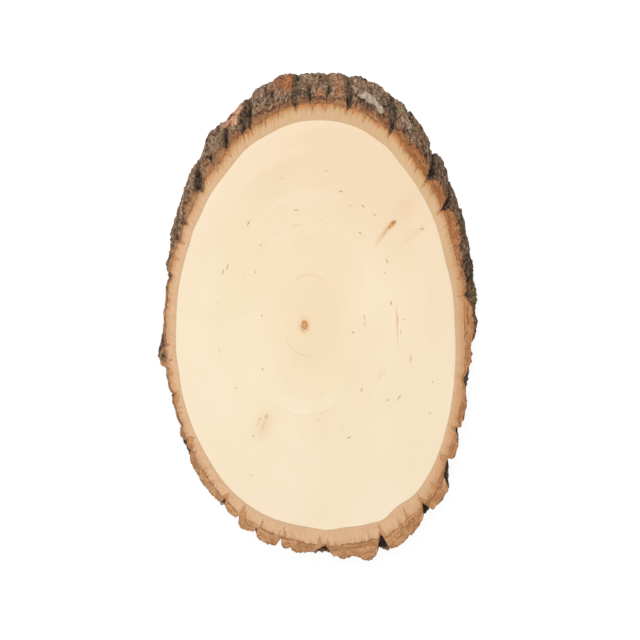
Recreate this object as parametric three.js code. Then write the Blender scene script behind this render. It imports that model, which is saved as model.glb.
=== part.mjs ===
// An oval slice of a linden log with its bark on, sawn on the slant and sanded on the upper face.
// Millimetres, +Z up. The slice lies on its back face, with its long way along Y.
// The log leans: going down from the sanded face, its section moves towards +Y.
import * as THREE from "three";

// Driving dimensions
const THICKNESS = 18;
const LEAN = THREE.MathUtils.degToRad(46);
const RIM_DROP = 0.4;
const PITH_OFFSET = 7.2;
const PITH_ANGLE = 180;
const TAPER = 1.2;
const LEAST_BARK = 3.5;
const PLATE_BULGE = 0.5;
const COLUMN_STEP = 1;
const LEVELS = 12;

// How far the bark strays on its way down the wall: sideways in degrees, in and out in mm
const FURROW_DRIFT = 0.7;
const DRIFT_SHARE = 0.22;
const PLATE_STRAY = 0.35;
const FURROW_STRAY = 1.0;
const FURROW_CLOSE = 0.4;
const BREAK_DEPTH = 0.9;
const ROUGHNESS = 0.4;
const SWELL_DEPTH = 0.1;
const SLOWEST_SWAY = 2;
const QUICKEST_SWAY = 5;
const FIRST_BREAK = 2;
const LAST_BREAK = LEVELS - 2;

// A round log cut on the slant gives an oval, longer than it is wide
const STRETCH = 1 / Math.cos(LEAN);
const SLIDE = Math.tan(LEAN);

// Radius of the wood under the bark, square to the log, every ten degrees from +X round by +Y
const WOOD_RADIUS = [
  79.2, 79.0, 78.2, 79.2, 79.6, 80.0, 80.8, 82.0, 82.0, 81.8, 81.7, 81.1,
  81.2, 80.0, 80.4, 79.8, 80.3, 80.9, 81.0, 82.0, 82.2, 82.3, 82.1, 82.4,
  82.0, 81.4, 80.7, 80.9, 82.0, 84.5, 85.9, 87.9, 87.2, 85.2, 82.8, 80.8,
];

// Where the wood swells or shrinks a little between those points: degrees, half width in degrees, mm
const WOOD_BUMPS = [
  [60, 4, 0.7],
  [152, 3, 0.7],
  [193, 4, -0.6],
  [274, 5, 0.8],
  [296, 3.5, 1.1],
  [304, 4, -0.7],
];

// The bark plates, in order round the log. Each has the degrees it runs from and to, its radius at
// both ends, how far it swells below the sawn edge, then the degrees, the floor radius and the swell
// of the furrow after it.
const PLATES = [
  [-4.5, 4, 89.7, 89.6, 1.7, 8, 86, 6.4],
  [8.8, 15, 87.2, 87.2, 3.9, 15.6, 86.2, 3.8],
  [16.2, 20.5, 87.2, 87.8, 4.6, 21, 87.6, 3],
  [22.5, 31, 90.2, 90, 1.5, 32.7, 85.2, 2],
  [34, 40.6, 90.6, 90.2, 0.5, 42.3, 85.6, 1.4],
  [44, 52, 90.3, 91.7, 1.4, 52.6, 91, 1.8],
  [53.4, 60.2, 90.4, 91.3, 1.9, 61.4, 87.6, 3.2],
  [62.3, 70, 91, 91.6, 0.8, 71, 90.2, 3.4],
  [72.3, 77.2, 91.8, 90.6, 1.2, 78.5, 88.5, 0.2],
  [79.6, 85.6, 91.4, 91, -0.2, 86.5, 89.4, 0.4],
  [87.3, 91.6, 91, 91.4, -0.2, 92.5, 89.8, -0.8],
  [93.3, 96.5, 91.2, 91, -0.3, 98.2, 88.3, 2.6],
  [99.6, 107, 90.7, 90.2, 0.8, 108, 89.6, 1.6],
  [109, 114, 90.8, 91, -0.5, 116, 88.1, 0.8],
  [117.4, 118.6, 90, 89.8, 0.3, 119.3, 87.5, 1.4],
  [120.2, 124.6, 90.2, 90.4, -0.6, 126.3, 87.4, -0.2],
  [127.4, 132, 89.7, 90.2, 0.3, 133.2, 88.2, 1],
  [134.4, 137.6, 91.9, 89.7, 1.5, 141, 86.2, -0.2],
  [142.8, 148.6, 89.6, 90.7, 0.4, 151.8, 86.8, 2.6],
  [153.4, 156.2, 88.8, 88.2, 1.2, 157.1, 86.7, -0.8],
  [158, 161.6, 89, 90, -0.5, 162, 89, -0.4],
  [162.4, 166, 89.6, 89.4, -1.5, 166.6, 87.6, -1],
  [167.4, 171, 87.7, 87.9, -0.4, 171.6, 87.8, 0],
  [172.4, 184.6, 87.8, 88.4, -0.3, 185.4, 88.3, 0],
  [187.2, 190.2, 91, 91.4, 0, 191.4, 88.8, 0],
  [192.2, 197.7, 88.9, 88.7, 0, 198.7, 87.2, 0],
  [199.6, 207.6, 88.4, 88.6, 0, 208, 88.9, 0],
  [208.7, 210.2, 90.2, 89.9, 0, 211.8, 88.1, 1.5],
  [212.8, 213.6, 89.5, 89.3, 0.5, 214.5, 88.4, 1.5],
  [216.2, 220.3, 90.8, 91.3, 0, 221.2, 90.3, 0],
  [222.2, 231.8, 91.5, 90.3, 0, 232.9, 87.9, 4.8],
  [233.8, 239, 90.4, 90.2, 0, 239.7, 88.6, 0],
  [240.6, 246, 91.8, 91.3, 0, 246.9, 89.4, 1.5],
  [247.8, 255, 92, 91.7, 0, 256.4, 88, 1.5],
  [257, 259.6, 91, 91, 0, 260.2, 90.7, 0],
  [260.8, 267, 91.5, 91, 0, 273.2, 89.4, 3.8],
  [275.8, 283.6, 93.4, 95.6, 0, 284.2, 96.2, 0],
  [285, 288, 96.4, 99.1, 0, 288.4, 99.4, 0],
  [289, 291, 98.9, 97.2, 0, 293.8, 91.5, 9],
  [295, 301.4, 98.9, 100.4, 0, 302, 99, 0],
  [302.8, 308.6, 100.3, 98.2, 0, 310.4, 94.2, 5],
  [312, 319, 100, 100.3, 0, 319.8, 97.2, -0.4],
  [320.4, 322.6, 95, 93.6, -0.4, 324.3, 92.4, 0.8],
  [325.6, 330.4, 95, 93.2, 0, 332.6, 90.1, 1.5],
  [333.6, 342.4, 92.7, 90.3, 0, 345.8, 87.2, 2],
  [348.2, 354, 89.2, 89.2, 0, 354.6, 89.5, 0],
];

// A short repeatable random sequence
const SEED_STEP = 16807;
const SEED_RANGE = 2147483647;
let seed = 20417;
function random() {
  seed = (seed * SEED_STEP) % SEED_RANGE;
  return seed / SEED_RANGE;
}

// A slow sway down the wall that starts from nothing at the sanded face
function sway(reach) {
  const pace = THREE.MathUtils.lerp(SLOWEST_SWAY, QUICKEST_SWAY, random());
  const phase = 2 * Math.PI * random();
  return (depth) => reach * (Math.sin(phase + pace * depth) - Math.sin(phase));
}

// Radius of the wood at any angle, through the ten degree points and over the bumps
const woodCurve = new THREE.CatmullRomCurve3(
  WOOD_RADIUS.map((radius) => new THREE.Vector3(radius, 0, 0)),
  true,
  "catmullrom",
);
function woodRadius(degrees) {
  const turn = degrees / 360;
  let radius = woodCurve.getPoint(turn - Math.floor(turn)).x;
  WOOD_BUMPS.forEach(([centre, halfWidth, height]) => {
    const away = THREE.MathUtils.euclideanModulo(degrees - centre + 180, 360) - 180;
    radius += height * Math.exp(-((away / halfWidth) ** 2));
  });
  return radius;
}

const plates = PLATES.map(([from, to, start, end, swell, furrow, floor, fill]) => ({
  from, to, start, end, swell, furrow, floor, fill,
}));

function plateAt(index) {
  const lap = Math.floor(index / plates.length);
  const plate = plates[index - lap * plates.length];
  return { plate, turn: 360 * lap };
}

function furrowAngle(index) {
  const { plate, turn } = plateAt(index);
  return plate.furrow + turn;
}

// Every plate strays in and out and is cracked across at one level, and every furrow also wanders
// sideways as far as its neighbours allow
plates.forEach((plate, index) => {
  const next = plateAt(index + 1).plate;
  const room = Math.min(
    furrowAngle(index + 1) - furrowAngle(index),
    furrowAngle(index) - furrowAngle(index - 1),
  );
  plate.drift = sway(Math.min(FURROW_DRIFT, DRIFT_SHARE * room));
  plate.stray = sway(PLATE_STRAY);
  plate.furrowStray = sway(FURROW_STRAY);
  plate.furrowDepth = (plate.end + next.start) / 2 - plate.floor;
  plate.breakLevel = FIRST_BREAK + Math.floor((LAST_BREAK - FIRST_BREAK + 1) * random());
});

// Upright columns of points round the wall: across each plate, down into its furrow and up again
const columns = [];
function addStretch(low, high, spread) {
  const count = Math.max(1, Math.round((high.angle - low.angle) / COLUMN_STEP));
  for (let step = 0; step < count; step += 1) {
    const along = step / count;
    const bulge = spread.bulge * Math.sin(Math.PI * along);
    columns.push({
      angle: THREE.MathUtils.lerp(low.angle, high.angle, along),
      radius: THREE.MathUtils.lerp(low.radius, high.radius, along) + bulge,
      sunk: THREE.MathUtils.lerp(low.sunk, high.sunk, along),
      plate: spread.plate,
      furrow: spread.furrow,
    });
  }
}
plates.forEach((plate, index) => {
  const next = plateAt(index + 1);
  const left = { angle: plate.from, radius: plate.start, sunk: 0 };
  const right = { angle: plate.to, radius: plate.end, sunk: 0 };
  const floor = { angle: plate.furrow, radius: plate.floor, sunk: 1 };
  const beyond = { angle: next.plate.from + next.turn, radius: next.plate.start, sunk: 0 };
  addStretch(left, right, { bulge: PLATE_BULGE, plate: index, furrow: index });
  addStretch(right, floor, { bulge: 0, plate: index, furrow: index });
  addStretch(floor, beyond, { bulge: 0, plate: index + 1, furrow: index });
});

// Where a column stands at a level of the wall, 0 at the sanded edge and LEVELS at the back
function columnAt(column, level) {
  const depth = level / LEVELS;
  const before = furrowAngle(column.plate - 1);
  const after = furrowAngle(column.plate);
  const across = (column.angle - before) / (after - before);
  const driftBefore = plateAt(column.plate - 1).plate.drift(depth);
  const driftAfter = plateAt(column.plate).plate.drift(depth);
  const angle = column.angle + THREE.MathUtils.lerp(driftBefore, driftAfter, across);
  const own = plateAt(column.plate).plate;
  const furrow = plateAt(column.furrow).plate;
  const stray = THREE.MathUtils.lerp(own.stray(depth), furrow.furrowStray(depth), column.sunk);
  const swell = THREE.MathUtils.lerp(own.swell, furrow.fill, column.sunk);
  const below = THREE.MathUtils.smoothstep(depth, 0, SWELL_DEPTH);
  const rough = ROUGHNESS * below * (2 * random() - 1);
  const close = FURROW_CLOSE * depth * column.sunk * furrow.furrowDepth;
  const crack = level === own.breakLevel ? BREAK_DEPTH * (1 - column.sunk) : 0;
  const radius = column.radius + stray + swell * below + rough + close - crack - TAPER * depth;
  return { angle, radius: Math.max(radius, woodRadius(angle) + LEAST_BARK) };
}

// A point of the slanted log, from its angle and radius square to the log's axis
function logPoint(degrees, radius, height) {
  const angle = THREE.MathUtils.degToRad(degrees);
  const slide = (THICKNESS - height) * SLIDE;
  return [radius * Math.cos(angle), radius * Math.sin(angle) * STRETCH + slide, height];
}

// Rings of points from the edge of the sanded wood, over the rim of the bark and down the wall
const rimHeight = THICKNESS - RIM_DROP;
const rings = [
  columns.map(({ angle }) => logPoint(angle, woodRadius(angle), THICKNESS)),
  columns.map(({ angle }) => logPoint(angle, woodRadius(angle) + RIM_DROP, rimHeight)),
];
for (let level = 0; level <= LEVELS; level += 1) {
  const height = rimHeight * (1 - level / LEVELS);
  const ring = columns.map((column) => {
    const { angle, radius } = columnAt(column, level);
    return logPoint(angle, radius, height);
  });
  rings.push(ring);
}

// One closed skin: a fan over the wood, strips between the rings and a fan over the back
function sliceGeometry() {
  const around = columns.length;
  const pithTop = logPoint(PITH_ANGLE, PITH_OFFSET, THICKNESS);
  const pithBack = logPoint(PITH_ANGLE, PITH_OFFSET, 0);
  const points = [pithTop, ...rings.flat(), pithBack];
  const at = (ring, column) => 1 + ring * around + (column % around);
  const lastRing = rings.length - 1;
  const faces = [];
  for (let column = 0; column < around; column += 1) {
    faces.push(0, at(0, column), at(0, column + 1));
    for (let ring = 0; ring < lastRing; ring += 1) {
      faces.push(at(ring, column), at(ring + 1, column), at(ring + 1, column + 1));
      faces.push(at(ring, column), at(ring + 1, column + 1), at(ring, column + 1));
    }
    faces.push(points.length - 1, at(lastRing, column + 1), at(lastRing, column));
  }
  const geometry = new THREE.BufferGeometry();
  geometry.setAttribute("position", new THREE.Float32BufferAttribute(points.flat(), 3));
  geometry.setIndex(faces);
  geometry.computeBoundingBox();
  const middle = geometry.boundingBox.getCenter(new THREE.Vector3());
  geometry.translate(-middle.x, -middle.y, 0);
  geometry.computeVertexNormals();
  return geometry;
}

const sandedWood = new THREE.MeshStandardMaterial({ color: 0xf4dfbd, roughness: 0.75, metalness: 0 });
const slice = new THREE.Mesh(sliceGeometry(), sandedWood);
slice.name = "wood_slice";

const object = new THREE.Group();
object.name = "wood_slice_object";
object.add(slice);

export default object;
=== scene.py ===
import math

import bpy
import numpy as np
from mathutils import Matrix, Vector, noise


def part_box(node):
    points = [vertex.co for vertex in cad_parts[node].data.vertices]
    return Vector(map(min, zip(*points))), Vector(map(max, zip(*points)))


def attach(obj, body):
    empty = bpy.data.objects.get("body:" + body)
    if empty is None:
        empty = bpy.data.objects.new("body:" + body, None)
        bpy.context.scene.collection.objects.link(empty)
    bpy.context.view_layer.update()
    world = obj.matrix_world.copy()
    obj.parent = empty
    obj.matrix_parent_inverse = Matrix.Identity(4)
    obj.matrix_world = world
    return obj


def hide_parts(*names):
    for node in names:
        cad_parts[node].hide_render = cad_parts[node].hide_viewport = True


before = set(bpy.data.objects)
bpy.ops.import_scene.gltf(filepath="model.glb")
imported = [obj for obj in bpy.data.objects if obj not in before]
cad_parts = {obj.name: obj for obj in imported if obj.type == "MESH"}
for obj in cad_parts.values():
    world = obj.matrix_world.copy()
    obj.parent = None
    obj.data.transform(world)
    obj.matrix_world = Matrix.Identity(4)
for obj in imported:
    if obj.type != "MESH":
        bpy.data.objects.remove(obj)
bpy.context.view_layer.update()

# The slice: one piece of linden, wood and bark together, sawn on the slant from a log and sanded on top.
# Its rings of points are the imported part's own, sorted round the log and filled in finer between.
# Sizes here are in mm. A point is known by its angle and radius square to the log, and its height.
MM = 0.001
LEAN = math.radians(46)
STRETCH = 1 / math.cos(LEAN)
SLIDE = math.tan(LEAN)
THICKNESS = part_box("wood_slice")[1].z / MM
PITH_OFFSET = -7.2
CLEAR_OF_PITH = 30
RING_SLACK = 0.06
RING_SHIFTS = range(-4, 5)
LOG_RADIUS = 90
AROUND = 1040
DOWN = 52

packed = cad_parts["wood_slice"].data
packed_points = np.zeros(3 * len(packed.vertices), np.float32)
packed.vertices.foreach_get("co", packed_points)
packed_points = np.unique(np.round(packed_points.reshape(-1, 3) / MM, 2), axis=0)
packed_height = packed_points[:, 2]
top_points = packed_points[packed_height > THICKNESS - RING_SLACK, :2]
pith = top_points[np.argmin(np.linalg.norm(top_points - top_points.mean(axis=0), axis=1))]
axis_x = pith[0] - PITH_OFFSET
axis_y = pith[1]

packed_x = packed_points[:, 0] - axis_x
packed_y = (packed_points[:, 1] - axis_y - (THICKNESS - packed_height) * SLIDE) / STRETCH
packed_angle = np.arctan2(packed_y, packed_x) % math.tau
packed_radius = np.hypot(packed_x, packed_y)


def packed_ring(height):
    chosen = (abs(packed_height - height) < RING_SLACK) & (packed_radius > CLEAR_OF_PITH)
    order = np.argsort(packed_angle[chosen])
    return packed_angle[chosen][order], packed_radius[chosen][order]


heights = np.unique(np.round(packed_height, 1))[::-1]
edge_angle, edge_radius = packed_ring(heights[0])
columns = len(edge_angle)
rim_radius = packed_ring(heights[1])[1].reshape(columns, 2).max(axis=1)
level_angle = [edge_angle]
level_radius = [rim_radius]
for height in heights[2:]:
    ring_angle, ring_radius = packed_ring(height)
    above = level_angle[-1]
    shift = min(
        RING_SHIFTS,
        key=lambda s: abs((np.roll(ring_angle, s) - above + math.pi) % math.tau - math.pi).sum(),
    )
    step = (np.roll(ring_angle, shift) - above + math.pi) % math.tau - math.pi
    level_angle.append(above + step)
    level_radius.append(np.roll(ring_radius, shift))

fine_column = np.arange(AROUND) * columns / AROUND
fine_level = np.linspace(0, len(level_angle) - 1, DOWN + 1)


def finer_round(values, lap=0.0):
    return np.interp(fine_column, np.arange(columns + 1), np.append(values, values[0] + lap))


def finer_down(levels):
    spots = np.arange(len(levels))
    return np.array([np.interp(fine_level, spots, column) for column in np.array(levels).T]).T


wood_radius = finer_round(edge_radius)
wall_angle = finer_down([finer_round(ring, math.tau) for ring in level_angle])
wall_base = finer_down([finer_round(ring) for ring in level_radius])
wall_height = np.linspace(heights[1], 0, DOWN + 1)
wall_along = (heights[1] - wall_height) * STRETCH
face_angle = wall_angle[0]
back_angle = wall_angle[-1]


def turned(values, reach):
    return np.array([np.roll(values, turn, axis=1) for turn in range(-reach, reach + 1)])


# A sliver left between two furrows on the upper side has worn down to the bark beside it
SLIVER_REACH = 4
SLIVER_LEFT = 0.3
UPPER_SIDE = 0.3
worn = turned(turned(wall_base, SLIVER_REACH).min(axis=0), SLIVER_REACH).max(axis=0)
upper_wall = np.sin(wall_angle) > UPPER_SIDE
wall_base = np.where(upper_wall, np.minimum(wall_base, worn + SLIVER_LEFT), wall_base)

# How far each wall point lies below the bark plates beside it: 0 on a plate, 1 in a deep furrow
PLATE_REACH = 16
FURROW_DEPTH = 2.8
beside = turned(wall_base, PLATE_REACH)
plate_top = 0.5 * (beside.max(axis=0) + np.sort(beside, axis=0)[-PLATE_REACH])
wall_sunk = np.clip((plate_top - wall_base) / FURROW_DEPTH, 0, 1)

# The bark is flaky, with long ridges, short cracks and a crust of grains, all calmer at both sawn edges.
# Each kind of relief has its size round the log and down the wall, its bend, and its height or depth.
NOISE_SEED = 3
BEND_SIZE = (7, 7)
RIDGE_SIZE = (3.4, 19)
RIDGE_BEND = 0.3
RIDGE_HEIGHT = 0.7
FLAKE_SIZE = (5.5, 9)
FLAKE_BEND = 0.4
FLAKE_COUNT = 2.4
CHIP_SIZE = (1.9, 2.6)
CHIP_COUNT = 0.7
FLAKE_STEP = 0.36
FLAKE_FRONT = 0.72
CRACK_SIZE = (4.6, 17)
CRACK_BEND = 0.5
CRACK_WIDTH = 0.09
CRACK_DEPTH = 0.7
CRACKED_SIZE = (11, 13)
CRACKED_ABOVE = -0.1
CRUST_SIZE = (1.5, 1.9)
CRUST_CALM = 0.6
CRUST_FINER = 2.1
CRUST_LAYERS = 3
CRUST_HEIGHT = 0.6
FURROW_CUT = 0.9
RIM_CALM = 0.5
RIM_FADE = 2.5
BACK_CALM = 0.3
BACK_FADE = 6.0
LEAST_BARK = 3

# Unseeded, this noise would differ from run to run
noise.seed_set(NOISE_SEED)


def bark_spot(angle, along, size):
    across, down = size
    x = LOG_RADIUS * math.cos(angle) / across
    y = LOG_RADIUS * math.sin(angle) / across
    return Vector((x, y, along / down))


def bark_relief(angle, along):
    bend = noise.noise_vector(bark_spot(angle, along, BEND_SIZE))
    ridge = noise.noise(bark_spot(angle, along, RIDGE_SIZE) + RIDGE_BEND * bend)
    shelf = FLAKE_COUNT * noise.noise(bark_spot(angle, along, FLAKE_SIZE) + FLAKE_BEND * bend)
    shelf += CHIP_COUNT * noise.noise(bark_spot(angle, along, CHIP_SIZE))
    front = (shelf % 1 - FLAKE_FRONT) / (1 - FLAKE_FRONT)
    flake = math.floor(shelf) + max(0.0, front)
    split = noise.noise(bark_spot(angle, along, CRACK_SIZE) + CRACK_BEND * bend)
    cracked = noise.noise(bark_spot(angle, along, CRACKED_SIZE)) > CRACKED_ABOVE
    crack = max(0.0, 1 - abs(split) / CRACK_WIDTH) if cracked else 0.0
    crust = noise.fractal(bark_spot(angle, along, CRUST_SIZE), CRUST_CALM, CRUST_FINER, CRUST_LAYERS)
    return ridge, flake, crack, crust


relief = np.array([
    [bark_relief(angle, along) for angle in ring_angles]
    for ring_angles, along in zip(wall_angle, wall_along)
])
wall_ridge, wall_flake, wall_crack, wall_crust = np.moveaxis(relief, 2, 0)

# Below the front edge the bark juts in lips, given as degrees round, half width and how far they jut, and
# in more by noise. Noise along the rim has its strength, its size and the level that it is taken from.
LIP_LENGTH = 5.0
LIP_FADE = 1.4
LIP_NOISE = (1.1, 6, 50)
WAVE_NOISES = ((1.0, 3.2, 70), (0.7, 1.3, 80))
WAVE_HEIGHT = 0.35
LIPS = (
    (171.5, 2.5, 0.7), (187, 3, 0.7), (199, 2, 0.6), (212.5, 2.5, 0.8), (221, 3, 0.5), (232.5, 2.5, 0.7),
    (248, 2.5, 0.6), (257, 2, 0.8), (269, 3.5, 0.7), (288, 2.4, 1.4), (303, 2.5, 0.9), (316, 5, 0.7),
    (326, 4, 0.6), (337, 3, 0.5), (346, 3.5, 0.8), (353, 4, 0.4),
)


def rim_noise(strength, size, level):
    return strength * np.array([noise.noise(bark_spot(angle, level, (size, 1))) for angle in face_angle])


def arc_gap(angles, centre):
    return abs((angles - centre + math.pi) % math.tau - math.pi) * LOG_RADIUS


lip = np.maximum(0.0, rim_noise(*LIP_NOISE))
for degrees, half_width, jut in LIPS:
    gap = arc_gap(face_angle, math.radians(degrees))
    lip = np.maximum(lip, jut * np.clip(LIP_FADE - gap / half_width, 0, 1))
lip_down = np.sin(math.pi * np.clip(wall_along / LIP_LENGTH, 0, 1))[:, None]
wave = sum(rim_noise(*values) for values in WAVE_NOISES)
front_fade = RIM_CALM + wall_along / RIM_FADE
back_fade = BACK_CALM + (wall_along[-1] - wall_along) / BACK_FADE
wall_fade = np.clip(np.minimum(front_fade, back_fade), 0, 1)[:, None]
wall_rough = RIDGE_HEIGHT * wall_ridge + FLAKE_STEP * wall_flake + CRUST_HEIGHT * wall_crust
wall_rough = wall_rough - CRACK_DEPTH * wall_crack * (1 - wall_sunk) - FURROW_CUT * wall_sunk ** 2
wall_radius = wall_base + wall_fade * wall_rough + WAVE_HEIGHT * wave + lip * lip_down
wall_radius = np.maximum(wall_radius, wood_radius + LEAST_BARK)

# How far each wall point stands out from the few millimetres round it
CREST_REACH = 4
shifts = range(-CREST_REACH, CREST_REACH + 1)
round_about = sum(np.roll(wall_rough, turn, axis=1) for turn in shifts) / len(shifts)
padded = np.pad(round_about, ((CREST_REACH, CREST_REACH), (0, 0)), "edge")
starts = range(2 * CREST_REACH + 1)
round_about = sum(padded[start:start + DOWN + 1] for start in starts) / len(starts)
wall_crest = wall_rough - round_about
bark_width = wall_radius[0] - wood_radius

# Between the living inner bark and the dead outer bark runs a wavy line of cork. It is given here as mm
# out from the wood every 30 degrees, and bends inward where the bark is thin.
CORK_LINE = (6.0, 6.3, 6.7, 6.8, 6.4, 6.0, 6.8, 6.0, 5.4, 6.9, 7.4, 5.8)
CORK_COVER = 0.9
CORK_NOISES = ((0.5, 2.3, 0), (0.6, 8, 9))
cork_line = np.interp(face_angle, np.radians(np.arange(0, 391, 30)), CORK_LINE + CORK_LINE[:2])
for values in CORK_NOISES:
    cork_line += rim_noise(*values)
cork_line = np.minimum(cork_line, bark_width - CORK_COVER)

# Rays of softer orange tissue widen outward through the inner bark, most of them below a furrow. Each
# starts some mm out from the wood and has its half width at the cork line.
RAY_DEGREES = (
    7.8, 12.8, 32.5, 42, 61.5, 72, 79, 86.7, 92, 98, 108, 116, 126.5, 133, 141, 151.5, 157, 162, 173.5,
    185.5, 189.5, 193.2, 199.2, 201, 211.7, 213.2, 214.5, 216, 232.8, 240, 248.3, 255.8, 257.7,
    271, 274, 294, 304, 310, 316, 323, 332, 346,
)
BROAD_RAYS = (199.8, 212.6, 233.1, 240.3, 257, 294, 310.4, 323.6)
RAY_SEED = 11
RAY_START = (1.8, 3.6)
RAY_WIDTH = (0.7, 1.4)
BROAD_START = 1.2
BROAD_WIDTH = 1.9
RAY_LEAST = 0.5
RAY_BLUR = 0.7
RAY_NOISE = (1.2, 1.4, 30)
ray_fray = 1 + rim_noise(*RAY_NOISE)
ray_random = np.random.default_rng(RAY_SEED)
rays = [
    (math.radians(degrees), ray_random.uniform(*RAY_START), ray_random.uniform(*RAY_WIDTH))
    for degrees in RAY_DEGREES
]
rays += [(math.radians(degrees), BROAD_START, BROAD_WIDTH) for degrees in BROAD_RAYS]


def ray_strength(edge):
    strength = np.zeros(AROUND)
    for centre, start, half_width in rays:
        share = np.clip((edge - start) / np.maximum(cork_line - start, RAY_LEAST), 0, 1)
        opening = half_width * ray_fray * share
        inside = np.clip((opening - arc_gap(face_angle, centre)) / RAY_BLUR + 0.5, 0, 1)
        strength = np.maximum(strength, np.where(edge > start, inside, 0))
    return strength


# Patches on the outer bark: degrees round, mm below the edge, half width, half length, strength.
# Warm ones are fresh breaks, bare ones are peeled to the pink bark below, pale ones are lichen, green
# ones are moss and shady ones are painted shade beside furrows and under the lichen.
WARM_PATCHES = (
    (100, 15.5, 3.6, 8.5, 1.0), (103, 17.5, 5, 7, 0.9), (106, 20, 5, 5, 0.7), (82, 12, 4, 13, 0.65),
    (81.5, 8, 3, 5, 0.75), (85, 18, 5, 7, 0.4), (88.6, 3.5, 5, 4.5, 0.75), (111, 14, 7, 8, 0.3),
    (129, 20, 5, 6, 0.35), (60, 3, 5, 4, 0.4), (59.2, 22.5, 2.5, 3, 0.6), (48, 3, 7, 4, 0.35),
    (70, 20, 4, 4, 0.35),
)
BARE_PATCHES = (
    (123.5, 21, 6.5, 5.5, 1.0), (122.3, 12, 2.5, 8, 0.7), (166, 8, 4, 10, 0.8), (150, 3, 4, 3, 0.5),
    (88.4, 2, 4, 1.6, 0.6),
)
PALE_PATCHES = (
    (73.4, 7.8, 2.6, 3, 0.9), (71.3, 7, 3.2, 4.2, 1.15), (69.3, 5.8, 3.2, 4, 1.15), (67.2, 4, 3, 3, 1.0),
    (56.5, 9, 6, 7, 0.4), (33.5, 10, 2.5, 5, 0.6), (95, 20, 3, 4, 0.4), (110, 21, 5, 4, 0.3),
    (75.5, 14, 2, 7, 0.45), (280, 9, 7, 5, 0.4), (225, 12, 8, 6, 0.35),
)
GREEN_PATCHES = (
    (130, 8, 6, 9, 0.4), (59, 17.5, 3, 4, 1.0), (51.3, 11.5, 2.5, 3, 0.8), (7, 7, 4, 6, 0.8),
    (88, 14, 5, 8, 0.2), (250, 10, 9, 7, 0.3), (200, 8, 8, 7, 0.25),
)
SHADY_PATCHES = (
    (14, 5, 9, 9, 0.85), (24, 4, 5, 6, 0.5), (33, 5, 4, 8, 0.7), (42, 5, 5, 8, 0.75),
    (61.3, 10, 2.4, 16, 1.1), (74, 3.8, 1.8, 2.6, 1.3), (72, 1.8, 3, 1.3, 1.3), (69, 1.0, 3, 1, 1.1),
    (66, 0.6, 3, 0.8, 0.9), (78.6, 9, 2.2, 15, 0.95), (98.2, 9, 1.7, 16, 1.2), (118.2, 10, 3.3, 16, 0.95),
    (3, 8, 9, 12, 0.6), (127.3, 7, 1.6, 9, 0.7), (141, 6, 5, 12, 0.65), (154, 6, 5, 14, 0.65),
    (187, 4, 3, 6, 0.8), (135, 14, 4, 10, 0.4),
)
PATCH_FADE = 1.6


def patch_strength(patches):
    strength = np.zeros((DOWN + 1, AROUND))
    for degrees, depth, half_width, half_length, most in patches:
        across = arc_gap(wall_angle, math.radians(degrees)) / half_width
        down = (wall_along[:, None] - depth) / half_length
        strength = np.maximum(strength, most * np.clip(PATCH_FADE - np.hypot(across, down), 0, 1))
    return strength


wall_warm = patch_strength(WARM_PATCHES)
wall_bare = patch_strength(BARE_PATCHES)
wall_pale = patch_strength(PALE_PATCHES)
wall_green = patch_strength(GREEN_PATCHES)
wall_shady = patch_strength(SHADY_PATCHES)

# The mesh is built ring by ring, from the pith out over the sawn face, down the wall and back to the
# pith. Its points carry marks, which the materials read.
RIM_DROP = 0.35
STEP_DROP = 0.12
BAND_RINGS = 22
BACK_RINGS = 5
WOOD_SHARES = (0.35, 0.65, 0.88, 0.97)
BACK_SHARE = 0.5
SHARP_ANGLE = math.radians(48)
FACE, CUT, BARK = 0, 1, 2

vertices = []
ring_materials = []
marks = {
    name: []
    for name in (
        "edge", "rim", "cork", "ray", "sunk", "crack", "crest", "warm", "bare", "pale", "green", "shady",
    )
}


def log_points(angle, radius, height):
    x = axis_x + radius * np.cos(angle)
    y = axis_y + radius * np.sin(angle) * STRETCH + (THICKNESS - height) * SLIDE
    return np.column_stack([x, y, np.broadcast_to(height, x.shape)])


def add_ring(points, material, **values):
    vertices.append(points)
    ring_materials.append(material)
    for name, column in marks.items():
        column.append(np.broadcast_to(values.get(name, 0.0), (AROUND,)))


face_pith = np.array([[pith[0], pith[1], THICKNESS]])
back_pith = np.array([[pith[0], pith[1] + THICKNESS * SLIDE, 0]])
face_edge = log_points(face_angle, wood_radius, THICKNESS)
back_edge = log_points(back_angle, wood_radius, 0)
for share in WOOD_SHARES:
    add_ring(face_pith + share * (face_edge - face_pith), FACE)
add_ring(face_edge, FACE, cork=-cork_line)

for count in range(BAND_RINGS):
    share = count / BAND_RINGS
    radius = wood_radius + STEP_DROP + share * (bark_width - STEP_DROP)
    drop = STEP_DROP + (RIM_DROP - STEP_DROP) * share
    edge = radius - wood_radius
    add_ring(
        log_points(face_angle, radius, THICKNESS - drop),
        CUT,
        edge=edge,
        rim=wall_radius[0] - radius,
        cork=edge - cork_line,
        ray=ray_strength(edge),
    )
for level in range(DOWN + 1):
    edge = wall_radius[level] - wood_radius
    ring_height = wall_height[level] if level else THICKNESS - RIM_DROP
    add_ring(
        log_points(wall_angle[level], wall_radius[level], ring_height),
        BARK if level else CUT,
        edge=edge,
        cork=edge - cork_line,
        sunk=wall_sunk[level],
        crack=wall_crack[level],
        crest=wall_crest[level],
        warm=wall_warm[level],
        bare=wall_bare[level],
        pale=wall_pale[level],
        green=wall_green[level],
        shady=wall_shady[level],
    )
back_width = wall_radius[-1] - wood_radius
for count in range(1, BACK_RINGS + 1):
    share = 1 - count / BACK_RINGS
    edge = share * back_width
    add_ring(
        log_points(back_angle, wood_radius + edge, 0),
        CUT,
        edge=edge,
        rim=back_width - edge,
        cork=edge - cork_line,
        ray=ray_strength(edge),
    )
add_ring(back_pith + BACK_SHARE * (back_edge - back_pith), FACE)

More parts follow.
